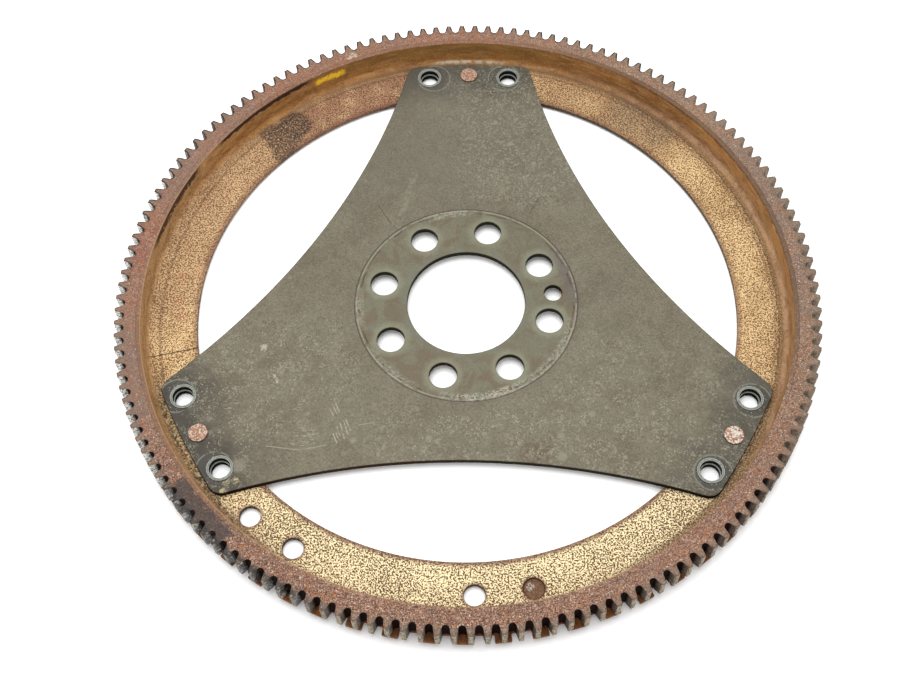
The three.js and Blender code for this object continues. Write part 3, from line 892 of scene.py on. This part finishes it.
def rivet_surface():
    """Coppery steel, mottled pale where it was struck."""
    s = Surface("coppery_rivet_steel")
    mottle = s.patches(1.2, 0.44, 0.06, detail=3, rough=0.55, warp=0.8, seed=3)
    pits = s.patches(0.55, 0.52, rough=0.7, seed=7)
    bright = s.sector(330, 20) * 0.75 + s.sector(210, 20) * 0.3 + 0.35
    colour = s.layers(
        "c0825f",
        ("fbeedd", mottle * bright),
        ("6b3a2b", pits * 0.55),
        ("4a3026", s.side * 0.8),
    )
    return s.finish(colour, 0.5 + mottle * 0.1, mottle * 0.08 - pits * 0.08, 0.3, 0.4)


def bush_surface():
    """Pale grey-green plated steel, bright on its rims, with a painted highlight on its ledge and painted
    shade down its bore.
    """
    s = Surface("plated_bush_steel")
    mottle = s.patches(1.4, 0.4, 0.22, detail=4, warp=0.4, seed=4)
    dirt = s.patches(0.7, 0.52, 0.1, rough=0.7, seed=8)
    top = s.smooth(s.z, BUSH_HIGH - 0.12, BUSH_HIGH - 0.03)
    inside = s.smooth(s.z, BUSH_HIGH - 0.3, BUSH_HIGH - 0.8)
    colour = s.layers(
        "848880",
        ("9a9f94", mottle * 0.5),
        ("c9cdc2", top * 0.7),
        ("6f6452", dirt * 0.35),
        # painted shade down the bore
        ("151714", inside * s.side * 0.95),
        # painted highlight on the ledge inside the bore
        ("b9bdb2", inside * (1 - s.side) * 0.8),
    )
    bore = inside * s.side
    rough = 0.4 + mottle * 0.1 + dirt * 0.1
    return s.finish(colour, rough, mottle * 0.03 + dirt * 0.04, 0.4 * (1 - bore), 0.4 * (1 - bore))


# ---- ring gear ----


def half_tooth():
    """Points from mid-gap to mid-tooth as (sideways from mid-gap, outward from the root circle)."""
    lean = FLANK_SLOPE + math.pi / TEETH
    root_half = TOOTH_HALF + (GEAR_PITCH_R - GEAR_ROOT_R) * FLANK_SLOPE
    gap_half = math.pi * GEAR_ROOT_R / TEETH - root_half
    slant = math.hypot(1, lean)
    foot_r = gap_half / (slant - lean)
    leaves = math.degrees(math.atan(lean))
    foot = [math.radians(-90 + (90 - leaves) * t) for t in steps(6)]
    points = [(foot_r * math.cos(a), foot_r * (1 + math.sin(a))) for a in foot]
    depth = GEAR_TIP_R - GEAR_ROOT_R
    corner_top = depth - TOOTH_CORNER
    low = points[-1][1]
    for t in steps(4)[1:]:
        out = low + (corner_top - low) * t
        points.append((gap_half + lean * out - TOOTH_BULGE * math.sin(math.pi * t), out))
    side = points[-1][0]
    for a in quarter(3)[1:]:
        sideways = side + TOOTH_CORNER * (0.85 - 0.75 * math.cos(a))
        points.append((sideways, corner_top + TOOTH_CORNER * math.sin(a)))
    return points


def tooth_ring():
    """The whole toothed outline as (radius, degrees), in order round the gear."""
    rising = []
    for x, y in half_tooth():
        out = GEAR_ROOT_R + y
        rising.append((math.hypot(x, out), math.degrees(math.atan2(x, out))))
    outline = []
    for k in range(TEETH):
        gap_deg = TOOTH_DEG + (k - 0.5) * 360 / TEETH
        outline += [(r, gap_deg + a) for r, a in rising]
        outline.append((GEAR_TIP_R, gap_deg + 180 / TEETH))
        outline += [(r, gap_deg + 360 / TEETH - a) for r, a in reversed(rising[1:])]
    return outline


def worn(point):
    """How much a place on the teeth has been knocked back, in millimetres."""
    return 0.12 * max(0.0, noise.noise(point * 0.45)) + 0.04 * noise.noise(point * 1.7)


def gear_layer(outline, level, inset, tip_cut):
    """One ring of the gear's rim: the outline shrunk by inset, and cut back to a tip chamfer."""
    points = [polar(r, a, level) for r, a in outline]
    limit = GEAR_TIP_R - tip_cut - 0.05
    ring = []
    for point, inner in zip(points, shrunk(points, inset)):
        outwardness = (point.xy.length - GEAR_ROOT_R) / (GEAR_TIP_R - GEAR_ROOT_R)
        radius = min(inner.xy.length - worn(point) * outwardness, limit)
        flat = inner.xy.normalized() * radius
        ring.append(Vector((flat.x, flat.y, level)))
    return ring


def ring_gear():
    outline = tooth_ring()
    azimuths = [a for _, a in outline]
    cut = GEAR_TIP_CHAMFER
    edge = GEAR_EDGE
    rim = []
    for depth in (0.0, edge * 0.35, edge, cut, 0.5 * (GEAR_HIGH - GEAR_LOW)):
        inset = edge * (1 - math.sin(math.acos(1 - depth / edge))) if depth < edge else 0.0
        rim.append((depth, inset, max(cut - depth, 0.0)))
    lower = [gear_layer(outline, GEAR_LOW + depth, inset, tip) for depth, inset, tip in rim]
    upper = [gear_layer(outline, GEAR_HIGH - depth, inset, tip) for depth, inset, tip in reversed(rim[:-1])]
    shoulder = GEAR_ROOT_R - 1.0
    inner = (
        (shoulder, GEAR_HIGH),
        (GEAR_BORE_R + BORE_EDGE, GEAR_HIGH),
        (GEAR_BORE_R, GEAR_HIGH - BORE_EDGE),
        (GEAR_BORE_R, GEAR_LOW + BORE_EDGE),
        (GEAR_BORE_R + BORE_EDGE, GEAR_LOW),
        (shoulder, GEAR_LOW),
    )
    return skinned(lower + upper + [circle(r, z, azimuths) for r, z in inner])


# ---- signal ring ----


def tab_ring():
    """The notched rim as (radius, degrees): each tab's rounded corners, sides and the notch floor."""
    corner = TAB_CORNER
    corner_deg = math.degrees(corner / SIGNAL_TAB_R)
    foot_deg = -TAB_WIDTH_DEG / 2
    top_deg = foot_deg + TAB_DRAFT_DEG
    side = [
        (SIGNAL_NOTCH_R + corner * (1 - math.cos(a)), foot_deg - corner_deg * (1 - math.sin(a)))
        for a in quarter(4)
    ]
    side += [
        (SIGNAL_TAB_R - corner * (1 - math.sin(a)), top_deg + corner_deg * (1 - math.cos(a)))
        for a in quarter(4)
    ]
    outline = []
    for k in range(TABS):
        centre = TAB_DEG + k * 360 / TABS
        outline += [(r, centre + a) for r, a in side]
        outline.append((SIGNAL_TAB_R, centre))
        outline += [(r, centre - a) for r, a in reversed(side)]
        outline.append((SIGNAL_NOTCH_R, centre + 180 / TABS))
    return outline


def signal_ring():
    outline = tab_ring()
    points = [polar(r, a) for r, a in outline]
    azimuths = [a for _, a in outline]
    edge = SIGNAL_EDGE
    shoulder = SIGNAL_NOTCH_R - 1
    rim = (
        (edge, SIGNAL_LOW),
        (edge * 0.3, SIGNAL_LOW + edge * 0.3),
        (0, SIGNAL_LOW + edge),
        (0, SIGNAL_HIGH - edge),
        (edge, SIGNAL_HIGH),
    )
    inner = (
        (shoulder, SIGNAL_HIGH),
        (SIGNAL_BORE_R, SIGNAL_HIGH),
        (SIGNAL_BORE_R, SIGNAL_LOW + edge),
        (SIGNAL_BORE_R + edge, SIGNAL_LOW),
        (shoulder, SIGNAL_LOW),
    )
    rings = [shrunk(points, inset, level) for inset, level in rim]
    return skinned(rings + [circle(r, z, azimuths) for r, z in inner])


# ---- carrier ring ----


def bend(radius):
    """Points of the quarter bend between flange and wall, from the flange outwards."""
    centre_r = WALL_INNER_R - BEND_INNER_R
    centre_z = FLANGE_HIGH + BEND_INNER_R
    return [(centre_r + radius * math.sin(a), centre_z - radius * math.cos(a)) for a in quarter(10)]


def fastener_cutters(low, high):
    """Cutters for every bush and rivet hole."""
    holes = []
    for arm in ARM_DEGS:
        holes.append((arm, RIVET_SHANK_R + RIVET_FIT, 40))
        holes += [(arm + side, BUSH_OUTER_R + BUSH_FIT, 56) for side in (BUSH_OFFSET_DEG, -BUSH_OFFSET_DEG)]
    edges = FASTENER_HOLE_EDGE, FASTENER_HOLE_EDGE
    return [hole_cutter(polar(FASTENER_CIRCLE_R, a), r, low, high, *edges, count) for a, r, count in holes]


def carrier_ring():
    profile = [
        *reversed(rounded_edge(FLANGE_INNER_R, CARRIER_LOW, FLANGE_EDGE_LOW, -1, -1)),
        *rounded_edge(FLANGE_INNER_R, FLANGE_HIGH, FLANGE_EDGE_HIGH, -1, 1),
        *bend(BEND_INNER_R),
        *rounded_edge(WALL_INNER_R, RIM_HIGH, RIM_EDGE_INNER, -1, 1),
        *reversed(rounded_edge(WALL_OUTER_R, RIM_HIGH, RIM_EDGE_OUTER, 1, 1)),
        *reversed(bend(BEND_INNER_R + CARRIER_SHEET)),
    ]
    cutters = fastener_cutters(CARRIER_LOW, FLANGE_HIGH)
    for azimuth in BALANCE_HOLES_DEG:
        place = polar(BALANCE_CIRCLE_R, azimuth)
        edges = BALANCE_EDGE_LOW, BALANCE_EDGE_HIGH
        cutters.append(hole_cutter(place, BALANCE_HOLE_R, CARRIER_LOW, FLANGE_HIGH, *edges))
    cutters.append(dimple_cutter())
    return without(turned(profile, CARRIER_FACETS), cutters)


def dimple_cutter():
    """A drill's blunt point, just into the flange."""
    floor = FLANGE_HIGH - BALANCE_DIMPLE_DEPTH
    profile = [
        (0, floor - 0.35),
        (1.2, floor - 0.2),
        (BALANCE_HOLE_R - 0.6, floor + 0.25),
        (BALANCE_HOLE_R - 0.1, floor + 0.6),
        (BALANCE_HOLE_R, FLANGE_HIGH - 0.25),
        (BALANCE_HOLE_R + 0.4, FLANGE_HIGH + 0.15),
        (0, FLANGE_HIGH + 0.15),
    ]
    return moved(turned(profile, 72), polar(BALANCE_CIRCLE_R, BALANCE_DIMPLE_DEG))


# ---- drive plate ----


def bowed(start, end, bulge, count):
    """Points along a shallow curve between two corners, short of each by the corner's trim."""
    chord = end - start
    outward = Vector((chord.y, -chord.x, 0)).normalized()
    skipped = ARM_CORNER_TRIM / chord.length
    places = [skipped + (1 - 2 * skipped) * t for t in steps(count)]
    return [start + chord * t + outward * (4 * bulge * t * (1 - t)) for t in places]


def rounded(before, corner, after, count=10):
    """Points inside a rounded corner, without its two ends."""
    inner = steps(count)[1:-1]
    return [before * (1 - t) ** 2 + corner * (2 * t * (1 - t)) + after * t ** 2 for t in inner]


def plate_outline():
    chord_r = ARM_CORNER_R * math.cos(math.radians(60 - ARM_CORNER_DEG))
    sides = []
    for arm in ARM_DEGS:
        right = polar(ARM_CORNER_R, arm - ARM_CORNER_DEG)
        left = polar(ARM_CORNER_R, arm + ARM_CORNER_DEG)
        following = polar(ARM_CORNER_R, arm + 120 - ARM_CORNER_DEG)
        end = bowed(right, left, ARM_END_BULGE, 24)
        hollow = bowed(left, following, PLATE_WAIST_R - chord_r, 110)
        sides.append((end, left, hollow, following))
    outline = []
    for k, (end, left, hollow, following) in enumerate(sides):
        next_end = sides[(k + 1) % len(sides)][0]
        outline += end + rounded(end[-1], left, hollow[0])
        outline += hollow + rounded(hollow[-1], following, next_end[0])
    return outline


def drive_plate():
    outline = plate_outline()
    azimuths = [math.degrees(math.atan2(point.y, point.x)) for point in outline]
    low, burr = PLATE_LOW, PLATE_BURR
    high, roll = PLATE_HIGH, PLATE_ROLL
    turns = [(1 - math.sin(a), 1 - math.cos(a)) for a in quarter(5)]
    rings = [shrunk(outline, burr * early, low + burr * late) for early, late in turns]
    rings += [shrunk(outline, roll * late, high - roll * early) for early, late in turns]
    rings += [circle(PLATE_BORE_R + roll * early, high - roll * late, azimuths) for early, late in turns]
    rings += [circle(PLATE_BORE_R + burr * late, low + burr * early, azimuths) for early, late in turns]
    bolts = [CRANK_BOLT_DEG + k * 360 / CRANK_BOLTS for k in range(CRANK_BOLTS)]
    holes = [(polar(CRANK_BOLT_CIRCLE_R, azimuth), CRANK_BOLT_HOLE_R) for azimuth in bolts]
    holes.append((polar(DOWEL_CIRCLE_R, DOWEL_DEG), DOWEL_HOLE_R))
    cutters = fastener_cutters(low, high)
    cutters += [hole_cutter(place, radius, low, high, burr, roll, 96) for place, radius in holes]
    return without(skinned(rings), cutters)


# ---- bushes and rivets ----


def bush(place):
    """A stepped sleeve. Its upper face is a shallow groove between two raised rims."""
    rim = BUSH_RIM
    groove = BUSH_HIGH - BUSH_GROOVE
    ledge = BUSH_HIGH - BUSH_STEP_DEPTH
    profile = [
        (BUSH_BORE_R, BUSH_LOW + 0.2),
        (BUSH_BORE_R + 0.2, BUSH_LOW),
        (BUSH_OUTER_R - 0.35, BUSH_LOW),
        (BUSH_OUTER_R - 0.1, BUSH_LOW + 0.1),
        (BUSH_OUTER_R, BUSH_LOW + 0.35),
        *rounded_edge(BUSH_OUTER_R, BUSH_HIGH, rim, 1, 1),
        (BUSH_OUTER_R - rim - 0.1, BUSH_HIGH - 0.04),
        (BUSH_OUTER_R - rim - 0.22, groove),
        (BUSH_MOUTH_R + rim + 0.22, groove),
        (BUSH_MOUTH_R + rim + 0.1, BUSH_HIGH - 0.04),
        *reversed(rounded_edge(BUSH_MOUTH_R, BUSH_HIGH, rim, -1, 1)),
        (BUSH_MOUTH_R, ledge + 0.12),
        (BUSH_MOUTH_R - 0.12, ledge),
        (BUSH_BORE_R + 0.12, ledge),
        (BUSH_BORE_R, ledge - 0.12),
    ]
    return moved(turned(profile, 72), place)


def rivet(place):
    """A rivet whose struck heads are a little uneven."""
    crown = [(RIVET_HEAD_R * t, RIVET_HIGH) for t in (0.15, 0.35, 0.55, 0.75, 0.86)]
    tail = [(r, RIVET_LOW) for r, _ in crown]
    profile = [
        (0, RIVET_LOW),
        *tail,
        *reversed(rounded_edge(RIVET_HEAD_R, RIVET_LOW, RIVET_EDGE, 1, -1)),
        (RIVET_HEAD_R, CARRIER_LOW - 0.02),
        (RIVET_SHANK_R, CARRIER_LOW - 0.02),
        (RIVET_SHANK_R, PLATE_HIGH + 0.02),
        (RIVET_HEAD_R - 0.05, PLATE_HIGH + 0.02),
        *rounded_edge(RIVET_HEAD_R, RIVET_HIGH, RIVET_EDGE, 1, 1),
        *reversed(crown),
        (0, RIVET_HIGH),
    ]
    bm = turned(profile, 56)
    for vert in bm.verts:
        level = vert.co.z
        if level > PLATE_HIGH + 0.1 or level < CARRIER_LOW - 0.1:
            dent = noise.noise(vert.co * 0.55 + place)
            vert.co.z -= 0.07 * abs(dent) * (1 if level > PLATE_HIGH else -1)
            vert.co.xy *= 1 - 0.012 * noise.noise(vert.co * 0.3 + place)
    return moved(bm, place)


# ---- pieces ----


def build_pieces():
    rivet_steel = rivet_surface()
    bush_steel = bush_surface()
    piece("drive_plate", drive_plate(), plate_surface())
    piece("carrier_ring", carrier_ring(), carrier_surface())
    piece("ring_gear", ring_gear(), gear_surface())
    piece("signal_ring", signal_ring(), signal_surface())
    for k, arm in enumerate(ARM_DEGS):
        piece(f"rivet_{k + 1}", rivet(polar(FASTENER_CIRCLE_R, arm)), rivet_steel)
        for side, offset in enumerate((BUSH_OFFSET_DEG, -BUSH_OFFSET_DEG)):
            place = polar(FASTENER_CIRCLE_R, arm + offset)
            piece(f"bush_{2 * k + side + 1}", bush(place), bush_steel)


# ---- stage ----

FLOOR_HALF = 3.0
FLOOR_TONES = ((0.90, 0.90, 0.90, 1), (0.94, 0.94, 0.94, 1))
WORLD_STRENGTH = 1.15
LIGHT_PLACE = Vector((-0.12, 0.22, 1.6))
LIGHT_SIZE = 1.3
LIGHT_WATTS = 23
CAMERA_PLACE = Vector((0.0104, -0.3091, 0.5230))
CAMERA_ELEVATION_DEG = 59.97
CAMERA_TURN_DEG = 3.24
CAMERA_ROLL_DEG = -2.69
CAMERA_LENS_MM = 52.6
CAMERA_SHIFT = (-0.0017, -0.0174)


def add_camera():
    data = bpy.data.cameras.new("camera")
    data.lens = CAMERA_LENS_MM
    data.shift_x, data.shift_y = CAMERA_SHIFT
    camera = linked("camera", data)
    turn = Matrix.Rotation(math.radians(CAMERA_TURN_DEG), 4, "Z")
    tilt = Matrix.Rotation(math.radians(90 - CAMERA_ELEVATION_DEG), 4, "X")
    roll = Matrix.Rotation(math.radians(CAMERA_ROLL_DEG), 4, "Z")
    camera.matrix_world = Matrix.Translation(CAMERA_PLACE) @ turn @ tilt @ roll
    bpy.context.scene.camera = camera


def add_floor():
    surface = Surface("pale_floor")
    faint = surface.noise(40, 2, seed=1)
    dim, bright = FLOOR_TONES
    surface.finish(surface.layers(dim, (bright, faint)), 0.9, faint * 0.01, 0.0, 0.1)
    bm = bmesh.new()
    corners = ((-1, -1), (1, -1), (1, 1), (-1, 1))
    bm.faces.new([bm.verts.new((x * FLOOR_HALF, y * FLOOR_HALF, 0)) for x, y in corners])
    floor = as_object("floor", bm)
    floor.data.materials.append(surface.material)


def add_light():
    world = bpy.data.worlds.new("studio")
    world.use_nodes = True
    background = world.node_tree.nodes["Background"]
    background.inputs["Color"].default_value = (1, 1, 1, 1)
    background.inputs["Strength"].default_value = WORLD_STRENGTH
    bpy.context.scene.world = world
    data = bpy.data.lights.new("overhead", "AREA")
    data.shape = "DISK"
    data.size = LIGHT_SIZE
    data.energy = LIGHT_WATTS
    light = linked("overhead", data)
    aim = (-LIGHT_PLACE).to_track_quat("-Z", "Y")
    light.matrix_world = Matrix.Translation(LIGHT_PLACE) @ aim.to_matrix().to_4x4()
    bpy.context.scene.view_settings.view_transform = "Standard"


add_camera()
build_pieces()
add_floor()
add_light()
